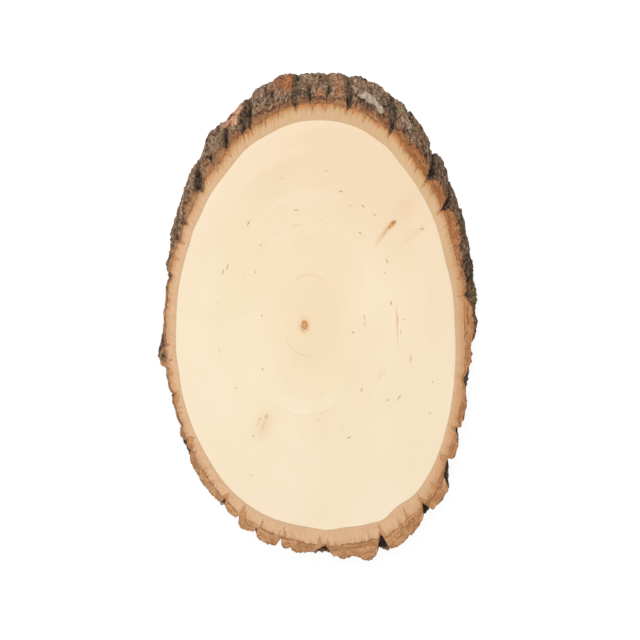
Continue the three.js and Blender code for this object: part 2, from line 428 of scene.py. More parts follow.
ring_count = len(vertices)
mesh_points = np.vstack([face_pith, *vertices, back_pith]) * MM
faces = []
face_materials = []
for column in range(AROUND):
    beyond = (column + 1) % AROUND
    faces.append((0, 1 + column, 1 + beyond))
    face_materials.append(FACE)
    for ring in range(1, ring_count):
        high = 1 + (ring - 1) * AROUND
        low = high + AROUND
        faces.append((high + column, low + column, low + beyond, high + beyond))
        face_materials.append(ring_materials[ring])
    last = 1 + (ring_count - 1) * AROUND
    faces.append((len(mesh_points) - 1, last + beyond, last + column))
    face_materials.append(FACE)

slice_mesh = bpy.data.meshes.new("linden_slice")
slice_mesh.from_pydata(mesh_points.tolist(), [], faces)
slice_mesh.polygons.foreach_set("material_index", face_materials)
slice_mesh.polygons.foreach_set("use_smooth", [True] * len(faces))
slice_mesh.set_sharp_from_angle(angle=SHARP_ANGLE)
for name, column in marks.items():
    attribute = slice_mesh.attributes.new(name, "FLOAT", "POINT")
    values = np.concatenate([[0.0], *column, [0.0]])
    attribute.data.foreach_set("value", values.astype(np.float32))
slice_piece = bpy.data.objects.new("linden_slice", slice_mesh)
bpy.context.scene.collection.objects.link(slice_piece)


# Shader maths is written as plain expressions on node outputs
class Wire:
    def __init__(self, tree, socket=None):
        self.tree = tree
        self.socket = socket

    def make(self, kind, settings=None, values=None, out=0):
        node = self.tree.nodes.new(kind)
        for name, value in (settings or {}).items():
            setattr(node, name, value)
        for name, value in (values or {}).items():
            if isinstance(value, Wire):
                self.tree.links.new(value.socket, node.inputs[name])
            else:
                node.inputs[name].default_value = value
        return Wire(self.tree, node.outputs[out])

    def other(self, out):
        return Wire(self.tree, self.socket.node.outputs[out])

    def feed(self, shader, name):
        self.tree.links.new(self.socket, shader.inputs[name])

    def maths(self, operation, *values):
        return self.make("ShaderNodeMath", {"operation": operation}, dict(enumerate(values)))

    def __add__(self, other):
        return self.maths("ADD", self, other)

    def __radd__(self, other):
        return self.maths("ADD", other, self)

    def __sub__(self, other):
        return self.maths("SUBTRACT", self, other)

    def __rsub__(self, other):
        return self.maths("SUBTRACT", other, self)

    def __mul__(self, other):
        return self.maths("MULTIPLY", self, other)

    def __rmul__(self, other):
        return self.maths("MULTIPLY", other, self)

    def __truediv__(self, other):
        return self.maths("DIVIDE", self, other)

    def __rtruediv__(self, other):
        return self.maths("DIVIDE", other, self)

    def __abs__(self):
        return self.maths("ABSOLUTE", self)

    def least(self, other):
        return self.maths("MINIMUM", self, other)

    def most(self, other):
        return self.maths("MAXIMUM", self, other)

    def rise(self, low, high):
        values = {"Value": self, "From Min": low, "From Max": high}
        return self.make("ShaderNodeMapRange", {"interpolation_type": "SMOOTHSTEP"}, values)

    def mix(self, low, high):
        values = {0: self, 6: low, 7: high}
        return self.make("ShaderNodeMix", {"data_type": "RGBA"}, values, out=2)

    def vector(self, x, y, z=0.0):
        return self.make("ShaderNodeCombineXYZ", None, {"X": x, "Y": y, "Z": z})

    def length(self):
        return self.make("ShaderNodeVectorMath", {"operation": "LENGTH"}, {0: self}, out="Value")

    def clouds(self, spot, scale=1.0, detail=2.0, roughness=0.5):
        values = {"Vector": spot, "Scale": scale, "Detail": detail, "Roughness": roughness}
        return self.make("ShaderNodeTexNoise", None, values)

    def mark(self, name):
        return self.make("ShaderNodeAttribute", {"attribute_name": name}, None, "Fac")

    def place(self):
        spot = self.make("ShaderNodeTexCoord", None, None, "Object")
        return [self.make("ShaderNodeSeparateXYZ", None, {0: spot}, axis) / MM for axis in "XYZ"]

    def log_place(self):
        x, y, z = self.place()
        log_x = x - float(axis_x)
        log_y = (y - float(axis_y) - (THICKNESS - z) * SLIDE) / STRETCH
        return log_x, log_y, z


# Tints are given as seen on a screen, from 0 to 255, and turned into amounts of light
def colour(red, green, blue):
    def linear(value):
        share = value / 255
        return share / 12.92 if share <= 0.04045 else ((share + 0.055) / 1.055) ** 2.4
    return (linear(red), linear(green), linear(blue), 1.0)


DULL_SHINE = 0.2


def new_material(name, roughness):
    material = bpy.data.materials.new(name)
    material.use_nodes = True
    shader = material.node_tree.nodes["Principled BSDF"]
    shader.inputs["Roughness"].default_value = roughness
    shader.inputs["Specular IOR Level"].default_value = DULL_SHINE
    return material, shader, Wire(material.node_tree)


# The sanded wood: cream linden with very faint rings about a small brown pith. The rings are centred on
# the pith inside and on the log at the bark. The tint drifts, darker above and about the heart.
CREAM_TINTS = (colour(247, 229, 200), colour(243, 223, 189))
PALE_STRAW = colour(243, 226, 190)
UPPER_TAN = colour(238, 213, 180)
RING_TAN = colour(236, 208, 170)
FINE_TAN = colour(238, 212, 176)
RING_CREAM = colour(247, 225, 197)
HEART_TAN = colour(241, 216, 178)
CORNER_TAN = colour(240, 214, 180)
LEFT_CREAM = colour(245, 230, 201)
RIGHT_CREAM = colour(246, 228, 203)
LAST_RING = 80
HEART_RIGHT = 6
HEART_UP = 5
HEART_RADII = (6, 38)
wood, wood_shader, wire = new_material("sanded_linden", roughness=0.65)
log_x, log_y, height = wire.log_place()
from_pith_x = log_x - PITH_OFFSET
from_pith = wire.vector(from_pith_x, log_y).length()
ring_x = from_pith_x + PITH_OFFSET * (from_pith / LAST_RING) * (from_pith / LAST_RING)
ring_radius = wire.vector(ring_x, log_y).length()
broad = wire.clouds(wire.vector(log_x, log_y, height * 0.3), 0.022, 2.0)
patchy = wire.clouds(wire.vector(log_x, log_y, height), 0.05, 3.0)
fine = wire.clouds(wire.vector(log_x, log_y, height), 0.8, 3.0)
ring_grain = wire.clouds(wire.vector(ring_radius * 1.1, 0.0, height * 0.02), 1.0, 3.0)
tint = broad.rise(0.35, 0.65).mix(*CREAM_TINTS)
tint = (0.5 * patchy.rise(0.45, 0.7)).mix(tint, PALE_STRAW)
tint = (0.9 * log_y.rise(5, 80)).mix(tint, UPPER_TAN)
tint = (0.15 * ring_grain.rise(0.45, 0.7) * patchy.rise(0.35, 0.6)).mix(tint, RING_TAN)
tint = (0.12 * fine.rise(0.5, 0.8)).mix(tint, FINE_TAN)
ring_tone = wire.clouds(wire.vector(ring_radius * 0.07, 0.0, log_x * 0.01), 1.0, 2.0)
tint = (0.5 * ring_tone.rise(0.45, 0.65)).mix(tint, RING_CREAM)
heart = wire.vector(from_pith_x - HEART_RIGHT, log_y - HEART_UP).length()
tint = (0.7 * (1 - heart.rise(*HEART_RADII))).mix(tint, HEART_TAN)
tint = (0.5 * (log_x + log_y).rise(40, 100)).mix(tint, CORNER_TAN)
tint = (0.3 * (0 - log_x - 0.1 * log_y).rise(10, 80)).mix(tint, LEFT_CREAM)
tint = (0.4 * (0.9 * log_x - 0.7 * log_y).rise(0, 90)).mix(tint, RIGHT_CREAM)

# Arcs of a few growth rings stand out: mm right of and above the pith, radius, half width, degrees round,
# half the degrees seen, strength and tint
DARK_RING = colour(222, 196, 160)
PALE_RING = colour(251, 236, 214)
ARCS = (
    (2.4, 3.8, 16.2, 0.45, 88, 50, 0.3, DARK_RING), (2.4, 3.8, 16.2, 0.45, 245, 38, 0.35, DARK_RING),
    (0.3, 1.2, 37.6, 0.5, 270, 34, 0.2, DARK_RING), (0.3, 1.2, 34.5, 3.4, 268, 50, 0.28, PALE_RING),
    (1.4, 2, 27, 0.5, 262, 26, 0.1, DARK_RING), (0.3, 0.6, 47, 0.8, 325, 24, 0.08, DARK_RING),
    (0, 1, 19, 0.7, 0, 60, 0.08, DARK_RING), (0, 1, 39, 0.8, 112, 36, 0.12, DARK_RING),
    (0, 0, 71, 0.6, 15, 14, 0.08, PALE_RING), (0, 0, 73.5, 0.5, 5, 18, 0.08, DARK_RING),
)
for centre_x, centre_y, radius, half_width, middle, half_seen, strength, stain in ARCS:
    across = from_pith_x - centre_x
    up = log_y - centre_y
    gap = abs(wire.vector(across, up).length() - radius) + 0.5 * (fine - 0.5)
    middle = math.radians(middle)
    away = wire.maths(
        "ARCTAN2",
        up * math.cos(middle) - across * math.sin(middle),
        across * math.cos(middle) + up * math.sin(middle),
    )
    seen = 1 - abs(away).rise(math.radians(0.5 * half_seen), math.radians(half_seen))
    tint = ((1 - gap.rise(0.3 * half_width, 1.5 * half_width)) * seen * strength).mix(tint, stain)

# The pith: a salmon core with a fine line, in a brown ring, with a paler halo and part of a second ring
PITH_HALO = colour(238, 200, 157)
PITH_SECOND = colour(206, 164, 116)
PITH_BROWN = colour(196, 139, 92)
PITH_SALMON = colour(224, 164, 118)
HALO_RADII = (1.8, 4.8)
SECOND_RADIUS = 2.6
BROWN_RADII = (1.5, 2.2)
CORE_RADII = (0.7, 1.5)
LINE_RADIUS = 0.7
tint = (0.8 * (1 - (from_pith + 1.6 * (patchy - 0.5)).rise(*HALO_RADII))).mix(tint, PITH_HALO)
second_ring = (1 - abs(from_pith - SECOND_RADIUS).rise(0.1, 0.5)) * (0 - log_y).rise(-0.8, 1.6)
tint = (0.7 * second_ring * fine.rise(0.36, 0.5)).mix(tint, PITH_SECOND)
tint = (1 - (from_pith + 0.8 * (fine - 0.5)).rise(*BROWN_RADII)).mix(tint, PITH_BROWN)
tint = (1 - (from_pith + 1.4 * (fine - 0.5)).rise(*CORE_RADII)).mix(tint, PITH_SALMON)
tint = (0.4 * (1 - abs(from_pith - LINE_RADIUS).rise(0.1, 0.4))).mix(tint, PITH_BROWN)

# Flecks and branch traces on the front, each as mm right of and above the pith, length, width and tilt
FRONT_FROM = 9
FLECK_EDGE = 1.3
DOT = (1.0, 1.0, 0)
BROWN_FLECKS = (
    (12.4, 88.6, *DOT), (-12.9, 84.5, *DOT), (21, 76.8, 3.2, 1, -15), (-4.9, 66.1, 2.9, 1, 0),
    (26.2, 68.7, *DOT), (33.6, 68.4, 3.2, 1, -35), (-32.2, 58.6, 4, 1.1, 60), (31.9, 52.9, 2.6, 1, -35),
    (-25.3, 46, *DOT), (67.7, 55.3, 2.3, 1.6, 15), (-44.3, 33.4, 4.3, 0.9, 70),
    (-46.9, 30.5, 4, 0.9, 75), (-28.2, 30.5, 1.7, 0.9, 60), (47.4, 36.8, 3.7, 1, -70),
    (46.3, 29.9, *DOT), (57.5, 3.3, *DOT), (49.8, 12.7, 3.3, 1, -80), (27.9, -4.3, 1.9, 1.2, 45),
    (-24.2, -25.3, 1.3, 1.3, 0), (73.6, -32.8, *DOT), (-24.5, 5.4, 1.4, 1.1, 80), (-39.4, -36.2, *DOT),
    (72.2, -50.6, 1.2, 1.2, 0), (-29.5, -63.7, 1.3, 1.2, 0), (48, -43.1, 2.9, 0.8, 50),
    (54.3, -41.7, 5.2, 0.8, 60), (25.6, -64.7, 3.2, 0.9, 35), (61.1, -19, 4.9, 0.8, 84),
    (-25.9, -54.1, 2.4, 0.7, 65),
)
FAINT_FLECKS = (
    (-14.1, 68.4, 2, 1, 20), (-4.9, 57.2, 4.9, 0.8, 5), (9.5, 60.4, 2, 0.9, 0), (2.9, 50.3, 2, 0.9, 0),
    (-34.2, 28.2, 1.7, 0.9, 70), (-49.7, 12.6, 3.2, 0.9, 90), (-33.9, 6.3, 1.7, 0.9, 90),
    (-48.9, -14.7, 3.7, 1, 90), (8.3, -54.9, 2.9, 0.8, 5), (-0.3, -64.4, 1.7, 0.9, 0),
    (21.6, -59.8, 2.9, 0.9, 70), (-30.8, -86.3, 2.9, 1, -25), (-26.7, -56.4, 8.5, 0.8, 65),
    (42.1, 47.7, 4, 2.6, 55), (43.6, 50, 11, 3, 54), (-23.9, -58.1, 12, 1.8, 69.5),
)
ORANGE_FLECKS = (
    (40.2, 63.4, 2.8, 1.1, -35), (34.5, 4.3, 3.6, 1.1, 90), (34.6, 1, 3.2, 1, 88),
    (55.3, -4.4, 2.6, 1, 90), (32.8, -37.3, 2.8, 1.5, 70), (53.2, -0.2, 25, 0.8, -88),
    (53.5, 3.3, 7, 1.3, -88), (-21.9, -52.5, 3.2, 2.2, 70), (46.5, 53.8, 8, 2.4, 58),
)
KNOT = ((50.2, 57.8, 7.4, 3.6, 43),)
KNOT_HEART = ((51.2, 58.9, 3.6, 2.2, 43), (48.9, 56.2, 2.6, 1, 48))
WIDE_STAINS = (
    (57.8, 68, 30, 17, 50), (63.2, 52.6, 26, 5, 42), (-23, -57.5, 19, 11, 69), (49.6, 57.3, 12, 7, 45),
    (44.3, -28.2, 9, 3.4, 62),
)


def nearest_fleck(flecks, spot):
    nearest = None
    for x, y, length, width, tilt in flecks:
        values = {
            "Vector": spot,
            "Location": (x, y, 0),
            "Rotation": (0, 0, math.radians(tilt)),
            "Scale": (length / 2, width / 2, 1),
        }
        reach = wire.make("ShaderNodeMapping", {"vector_type": "TEXTURE"}, values).length()
        nearest = reach if nearest is None else nearest.least(reach)
    return nearest


face_spot = wire.vector(from_pith_x, log_y * STRETCH)
front = height.rise(FRONT_FROM - 1, FRONT_FROM + 1)
for flecks, sharp, strength, stain in (
    (WIDE_STAINS, 0.0, 0.5, colour(236, 204, 166)),
    (FAINT_FLECKS, 0.3, 0.5, colour(222, 192, 146)),
    (BROWN_FLECKS, 0.3, 0.75, colour(180, 150, 106)),
    (ORANGE_FLECKS, 0.3, 0.6, colour(214, 160, 118)),
    (KNOT, 0.3, 0.85, colour(214, 156, 102)),
    (KNOT_HEART, 0.2, 0.8, colour(168, 112, 64)),
):
    reach = nearest_fleck(flecks, face_spot) + 0.5 * (fine - 0.5)
    shade = (1 - reach.rise(sharp, FLECK_EDGE)) * front * strength
    tint = shade.mix(tint, stain)
tint.feed(wood_shader, "Base Color")
saw_marks = wire.clouds(wire.vector(log_x * 0.02, log_y * 1.1, 0.0), 1.0, 2.0)
sanding = wire.clouds(wire.vector(log_x * 2.4, log_y * 0.2, height), 1.0, 2.0)
grain_height = 0.15 * sanding + (1 - front) * saw_marks
wire.make(
    "ShaderNodeBump", None, {"Strength": 0.25, "Distance": 0.0003, "Height": grain_height},
).feed(wood_shader, "Normal")

# The sawn bark: tan inner bark with orange teeth and rays, a dark cork line, then brown outer bark.
# A pair of tints is for the lower and upper side of the slice, or for two ends of what varies.
TAN_TINTS = (colour(225, 184, 145), colour(217, 177, 135))
TAN_BY_WOOD = colour(211, 178, 145)
TAN_MOTTLED = colour(211, 168, 125)
TAN_ABOVE = colour(206, 172, 132)
TAN_RUSTY = colour(227, 191, 149)
FIBRE_DARK = colour(202, 158, 114)
FIBRE_LIGHT = colour(226, 190, 150)
BLOTCH_TINTS = (colour(226, 182, 146), colour(212, 180, 128))
FLUSH_TINTS = (colour(200, 148, 100), colour(200, 138, 82))
DEEP_TAN = colour(196, 140, 92)
TOOTH_TINTS = (colour(170, 116, 74), colour(188, 116, 60))
DARK_TOOTH_TINTS = (colour(150, 98, 60), colour(158, 106, 58))
RAY_TINTS = (colour(198, 140, 92), colour(204, 140, 84))
RAY_SIDE = colour(158, 100, 58)
OUTER_TINTS = (colour(204, 154, 109), colour(182, 126, 82))
DARK_OUTER_TINTS = (colour(180, 127, 84), colour(136, 90, 60))
OUTER_LEFT = colour(218, 168, 122)
OUTER_RIGHT = colour(210, 144, 93)
MOTTLE_TINTS = (colour(174, 120, 78), colour(128, 84, 56))
LAYER_TINTS = (colour(144, 96, 61), colour(100, 66, 44))
PALE_LAYER_TINTS = (colour(216, 170, 126), colour(204, 150, 106))
GRAIN_TINTS = (colour(174, 122, 80), colour(92, 64, 46))
GRIT_BROWN = colour(148, 102, 68)
RUST = colour(182, 110, 56)
LEFT_BROWN = colour(116, 82, 56)
CORK_BROWN = colour(112, 70, 41)
SECOND_CORK = colour(104, 66, 40)
FRAYED_TINTS = (colour(78, 55, 40), colour(146, 108, 80))
CRUSTY_TINTS = (colour(66, 54, 44), colour(136, 114, 94))
PIT_EDGE = colour(124, 100, 80)
PIT_SHADE = colour(40, 31, 24)
BOTTOM_SIDE = math.radians(265)
RUSTY_SIDE = math.radians(42)
CRUSTY_SIDE = math.radians(153)
PIT_RIGHT = -88.2
PIT_UP = -12.6
PIT_LONGER = 0.6
CORK_SHIFT = 0.25
SECOND_CORK_OUT = 1.7
cut, cut_shader, wire = new_material("sawn_bark", roughness=0.8)
log_x, log_y, height = wire.log_place()
edge = wire.mark("edge")
rim = wire.mark("rim")
ray = wire.mark("ray")

# How far a point belongs to each side of the slice, from 0 to 1
turn = wire.maths("ARCTAN2", log_y, log_x)
lower = wire.maths("COSINE", turn - BOTTOM_SIDE).rise(0.55, 0.88)
upper = wire.maths("SINE", turn + 0.25).rise(0.05, 0.95)
right = wire.maths("COSINE", turn).rise(-0.9, 0.9)
far_right = wire.maths("COSINE", turn).rise(0.72, 0.96)
right_low = right * (1 - upper)
rusty = wire.maths("COSINE", turn - RUSTY_SIDE).rise(0.9, 0.98)
crusty = wire.maths("COSINE", turn - CRUSTY_SIDE).rise(0.92, 0.99)

# Distances in mm round the log, out from the cork line and in from it, then the noise that tints share
arc = turn * LOG_RADIUS
cork = wire.mark("cork") + CORK_SHIFT * (1 - lower)
inside = 0 - cork
spot = wire.vector(log_x, log_y, height)
blotch = wire.clouds(spot, 0.16, 3.0)
mottle = wire.clouds(spot, 0.75, 3.0, 0.6)
grit = wire.clouds(spot, 2.2, 2.0)
cells = wire.make("ShaderNodeTexVoronoi", None, {"Vector": spot, "Scale": 1.0}, "Color")
grain = wire.make("ShaderNodeSeparateColor", None, {0: cells}, "Red")

# The living inner bark, deeper in tint towards the cork
inner = right.mix(*TAN_TINTS)
inner = (0.7 * (1 - (edge + 2.0 * (blotch - 0.5)).rise(0.1, 2.0))).mix(inner, TAN_BY_WOOD)
inner = (0.6 * mottle.rise(0.45, 0.65)).mix(inner, TAN_MOTTLED)
inner = (0.4 * upper).mix(inner, TAN_ABOVE)
inner = (0.35 * rusty).mix(inner, TAN_RUSTY)
fibre = wire.clouds(wire.vector(arc * 1.3, edge * 0.25), 1.0, 2.0)
inner = ((0.3 - 0.2 * far_right) * fibre.rise(0.5, 0.68)).mix(inner, FIBRE_DARK)
inner = (0.25 * (1 - fibre.rise(0.36, 0.48))).mix(inner, FIBRE_LIGHT)
inner = (0.6 * blotch.rise(0.5, 0.64)).mix(inner, upper.mix(*BLOTCH_TINTS))
flush = (1 - (inside + 2.4 * (mottle - 0.5)).rise(0.0, 0.8 + 1.2 * upper)) * (0.3 + 0.45 * upper)
inner = flush.mix(inner, upper.mix(*FLUSH_TINTS))
deepest = 0.35 + 0.25 * right_low + 0.15 * (1 - right)
deepening = (1 - inside.rise(0.4, 3.8 + 1.5 * right_low)) * (1 - lower) * deepest
inner = deepening.mix(inner, DEEP_TAN)

# Teeth of orange tissue point inward from the cork: mm apart, longest, half width and strength
TEETH = ((3.8, 6.5, 0.75, 0.75), (1.9, 4.6, 0.48, 0.8), (1.0, 2.8, 0.32, 0.75), (2.5, 6.5, 0.24, 1.4))
tooth_tint = blotch.rise(0.42, 0.58).mix(
    upper.mix(*TOOTH_TINTS),
    upper.mix(*DARK_TOOTH_TINTS),
)
toothed = wire.clouds(wire.vector(arc * 0.11, 4.0), 1.0, 2.0).rise(0.4, 0.58)
toothed = (0.4 + 0.6 * toothed) * (0.7 + 0.3 * upper) * (1 - 0.65 * far_right)
slant = 1.6 * (wire.clouds(wire.vector(arc * 0.02, 0.0), 1.0, 1.0) - 0.5) - 0.5 * (1 - right)
for spacing, longest, half_width, strength in TEETH:
    spread = wire.make(
        "ShaderNodeTexVoronoi",
        {"voronoi_dimensions": "1D"},
        {"W": (arc + slant * inside + 0.5 * mottle) / spacing, "Scale": 1.0},
        "Distance",
    )
    draw = wire.make("ShaderNodeSeparateColor", None, {0: spread.other("Color")}, "Red")
    taper = 1 - inside / (0.2 + longest * draw * (0.75 + 0.25 * upper))
    tooth = (half_width * taper * (0.7 + 0.3 * upper) - spread * spacing).rise(-0.12, 0.18)
    inner = (tooth * strength * toothed * mottle.rise(0.3, 0.44)).mix(inner, tooth_tint)

ray_body = upper.mix(*RAY_TINTS)
inner = (ray.rise(0.4, 0.95) * 0.8).mix(inner, ray_body)
ray_side = ray.rise(0.1, 0.45) * (1 - ray.rise(0.55, 0.95))
inner = (ray_side * 0.6 * mottle.rise(0.36, 0.52)).mix(inner, RAY_SIDE)

# The dead outer bark lies in layers, with a dark line of cork inside it and frayed at the rim
stretch = wire.clouds(wire.vector(arc * 0.12, cork * 0.3), 1.0, 2.0)
layers = wire.clouds(wire.vector(arc * 0.2, cork * 1.1 + 3.0 * blotch, height), 1.0, 3.0, 0.6)
outer = stretch.rise(0.4, 0.6).mix(
    upper.mix(*OUTER_TINTS),
    upper.mix(*DARK_OUTER_TINTS),
)
outer = (0.6 * (1 - right).least(1 - 0.8 * upper)).mix(outer, OUTER_LEFT)
outer = (0.4 * far_right).mix(outer, OUTER_RIGHT)
outer = (0.6 * mottle.rise(0.46, 0.6)).mix(outer, upper.mix(*MOTTLE_TINTS))
outer = (0.6 * layers.rise(0.53, 0.6)).mix(outer, upper.mix(*LAYER_TINTS))
outer = (0.4 * (1 - layers.rise(0.36, 0.46))).mix(outer, upper.mix(*PALE_LAYER_TINTS))
outer = (0.6 * (1 - grain.rise(0.1, 0.4))).mix(outer, upper.mix(*GRAIN_TINTS))
outer = (0.4 * grit.rise(0.55, 0.65)).mix(outer, GRIT_BROWN)
outer = (0.4 * rusty).mix(outer, RUST)
outer = (0.36 * (1 - right) * (1 - lower)).mix(outer, LEFT_BROWN)
border = cork + 1.2 * (mottle - 0.5) + 1.0 * upper * (grain - 0.5)
tint = border.rise(-0.2, 0.3).mix(inner, outer)
line = 1 - abs(cork + 0.6 * (mottle - 0.5)).rise(0.05, 0.36)
tint = (line * blotch.rise(0.4, 0.54) * (1 - 0.5 * upper) * 0.7).mix(tint, CORK_BROWN)
second_line = 1 - abs(cork - SECOND_CORK_OUT + 2.0 * (stretch - 0.5)).rise(0.05, 0.4)
tint = (second_line * right * mottle.rise(0.36, 0.5) * 0.6).mix(tint, SECOND_CORK)
frayed_reach = 0.7 + 0.7 * upper + 2.2 * crusty
frayed = 1 - (rim + 2.6 * (mottle - 0.5) + 1.4 * (grain - 0.5)).rise(0.0, frayed_reach)
frayed_tint = grain.rise(0.3, 0.8).mix(*FRAYED_TINTS)
frayed_tint = (0.7 * crusty).mix(frayed_tint, grain.rise(0.3, 0.9).mix(*CRUSTY_TINTS))
tint = (frayed * (0.35 + 0.55 * upper.most(crusty))).mix(tint, frayed_tint)

# A pit in the knob at the left edge, on the front only: a brown rim round a centre of painted shade, on a
# flat face
pit = wire.vector(log_x - PIT_RIGHT, (log_y - PIT_UP) * STRETCH * PIT_LONGER).length()
pit += 3.2 * (mottle - 0.5) + 1.2 * (grain - 0.5)
pit_front = height.rise(FRONT_FROM - 1, FRONT_FROM + 1)
tint = (0.75 * pit_front * (1 - pit.rise(1.2, 2.8))).mix(tint, PIT_EDGE)
# The pit's dark centre is painted shade
tint = (0.95 * pit_front * (1 - pit.rise(0.5, 1.3))).mix(tint, PIT_SHADE)
tint.feed(cut_shader, "Base Color")
wire.make(
    "ShaderNodeBump", None, {"Strength": 0.35, "Distance": 0.0004, "Height": mottle},
).feed(cut_shader, "Normal")

# The outer bark: a brown crust of light and dark grains, stained in places, darker in furrows and cracks
# (partly painted shade), with painted shade in hollows and lighter crests (partly painted highlight)
BROWN_TINTS = (colour(142, 103, 75), colour(115, 87, 65))
REDDISH = colour(156, 112, 86)
DUSKY = colour(92, 72, 58)
STREAK_PALE = colour(161, 133, 107)
STREAK_DARK = colour(76, 60, 48)
CREST_TAN_AND_HIGHLIGHT = colour(167, 139, 111)
CRUST_TAN = colour(169, 140, 111)
GRAIN_PALE = colour(199, 179, 154)
GRAIN_DARK = colour(80, 62, 50)
HOLLOW_SHADE = colour(66, 51, 41)
TORN_TINTS = (colour(104, 70, 48), colour(172, 122, 82))
RIGHT_DARK = colour(78, 55, 38)
WARM_TINTS = (colour(184, 138, 114), colour(194, 112, 58))
WARM_PALE = colour(212, 152, 108)
WARM_STREAK = colour(136, 84, 54)
WARM_DARK = colour(104, 66, 44)
BARE_TINTS = (colour(196, 138, 98), colour(222, 172, 136))
BARE_DARK = colour(150, 98, 66)
GREEN_TINTS = (colour(88, 82, 48), colour(150, 138, 88))
LICHEN_TINTS = (colour(184, 162, 143), colour(216, 198, 177))
SPECK_PALE = colour(211, 190, 161)
SHADOW_TINTS = (colour(48, 38, 30), colour(110, 89, 69))
DARK_TINTS = (colour(40, 31, 25), colour(84, 69, 56))
NOTCH_SHADE = colour(34, 22, 13)
bark, bark_shader, wire = new_material("outer_bark", roughness=0.95)
log_x, log_y, height = wire.log_place()
along = (THICKNESS - height) * STRETCH
spot = wire.vector(log_x, log_y, along)
broad = wire.clouds(spot, 0.11, 3.0)
crust = wire.clouds(wire.vector(log_x, log_y, along * 0.45), 0.6, 4.0, 0.65)
grains = wire.clouds(spot, 0.8, 3.0, 0.7)
speck = wire.clouds(spot, 0.7, 4.0, 0.75)
crooked = wire.vector(log_x + 1.4 * grains, log_y + 1.4 * crust, along * 0.55)
cells = wire.make("ShaderNodeTexVoronoi", None, {"Vector": crooked, "Scale": 0.95}, "Color")
grain = wire.make("ShaderNodeSeparateColor", None, {0: cells}, "Red")
crest = wire.mark("crest")
ragged = 1.2 * (crust - 0.5) + 1.2 * (grains - 0.5)
hue = wire.clouds(wire.vector(log_x, log_y, along * 0.6), 0.2, 3.0)
tint = broad.rise(0.38, 0.62).mix(*BROWN_TINTS)
tint = (0.6 * hue.rise(0.5, 0.66)).mix(tint, REDDISH)
tint = (0.7 * (1 - hue.rise(0.34, 0.46))).mix(tint, DUSKY)
streak = wire.clouds(wire.vector(log_x, log_y, along * 0.16), 0.42, 3.0, 0.6)
tint = (0.55 * streak.rise(0.52, 0.64)).mix(tint, STREAK_PALE)
tint = (0.6 * (1 - streak.rise(0.36, 0.48))).mix(tint, STREAK_DARK)
# Crests lighter: partly weathered bark, partly painted highlight
tint = (0.5 * crest.rise(0.0, 0.6)).mix(tint, CREST_TAN_AND_HIGHLIGHT)
tint = (0.5 * crust.rise(0.52, 0.66)).mix(tint, CRUST_TAN)
tint = (0.8 * grain.rise(0.72, 1.0) * crust.rise(0.4, 0.56)).mix(tint, GRAIN_PALE)
tint = (0.6 * (1 - grain.rise(0.0, 0.32))).mix(tint, GRAIN_DARK)
# Points lying below the bark round them get painted shade
tint = (0.6 * (0 - crest).rise(0.15, 0.7)).mix(tint, HOLLOW_SHADE)

# Torn just below the sawn face, darker on the right, then the patches that the marks give
torn = (1 - (along + 5.0 * ragged).rise(0.6, 3.6)) * 0.7
tint = torn.mix(tint, grains.rise(0.42, 0.58).mix(*TORN_TINTS))
tint = (0.55 * log_x.rise(38, 75)).mix(tint, RIGHT_DARK)
warm = wire.mark("warm")
warm_tint = (warm + 0.8 * (streak - 0.5)).rise(0.45, 0.95).mix(*WARM_TINTS)
warm_tint = (0.5 * grain.rise(0.6, 1.0)).mix(warm_tint, WARM_PALE)
warm_tint = (0.6 * (1 - streak.rise(0.38, 0.54))).mix(warm_tint, WARM_STREAK)
warm_tint = (0.5 * (1 - grains.rise(0.4, 0.54))).mix(warm_tint, WARM_DARK)
warm_seen = (warm + 0.8 * ragged).rise(0.0, 1.0)
tint = (warm_seen * (0.4 + 0.5 * warm)).mix(tint, warm_tint)
bare = (wire.mark("bare") + 0.6 * ragged).rise(0.25, 0.7)
bare_tint = streak.rise(0.4, 0.6).mix(*BARE_TINTS)
tint = (0.9 * bare).mix(tint, (0.4 * (1 - grains.rise(0.4, 0.52))).mix(bare_tint, BARE_DARK))
green = (wire.mark("green") + ragged).rise(0.3, 0.75)
tint = (green * 0.75).mix(tint, grains.rise(0.42, 0.6).mix(*GREEN_TINTS))
pale = (wire.mark("pale") + 0.6 * ragged).rise(0.15, 1.0)
pale_tint = crust.rise(0.38, 0.62).mix(*LICHEN_TINTS)
tint = (pale * 0.72).mix(tint, pale_tint)
tint = (0.9 * speck.rise(0.585, 0.63) * (1 - 0.7 * warm_seen)).mix(tint, SPECK_PALE)

# Painted shade in the shady patches, furrows and cracks (furrows partly their own darker bark), darkest
# in the furrows of the lower edge; dark grains are the crust's own
shadow_tint = grain.rise(0.2, 0.9).mix(*SHADOW_TINTS)
shadow = (wire.mark("shady") + ragged).rise(0.35, 0.95)
shadow = shadow.most((wire.mark("sunk") + 0.9 * ragged).rise(0.3, 0.8))
tint = (0.9 * shadow * (1 - 0.7 * pale)).mix(tint, shadow_tint)
dark = 0.9 * (wire.mark("sunk") + 0.9 * ragged).rise(0.6, 1.05)
dark = dark.most(wire.mark("crack").rise(0.1, 0.7) * 0.95 * (1 - warm_seen.most(pale)))
dark = dark.most((1 - grains.rise(0.38, 0.46)) * 0.8 * (1 - 0.8 * bare.most(pale)))
tint = dark.mix(tint, grain.rise(0.45, 1.0).mix(*DARK_TINTS))
# Painted shade: furrows on the lower side, under the overhanging edge, go near black
notch_shade = wire.mark("sunk").rise(0.25, 0.7) * (0 - log_y).rise(10, 50)
tint = (0.75 * notch_shade).mix(tint, NOTCH_SHADE)
tint.feed(bark_shader, "Base Color")
wire.make(
    "ShaderNodeBump", None, {"Strength": 1.0, "Distance": 0.001, "Height": 0.5 * crust + 0.5 * grains},
).feed(bark_shader, "Normal")

for material in (wood, cut, bark):
    slice_mesh.materials.append(material)
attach(slice_piece, "root")
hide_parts("wood_slice")

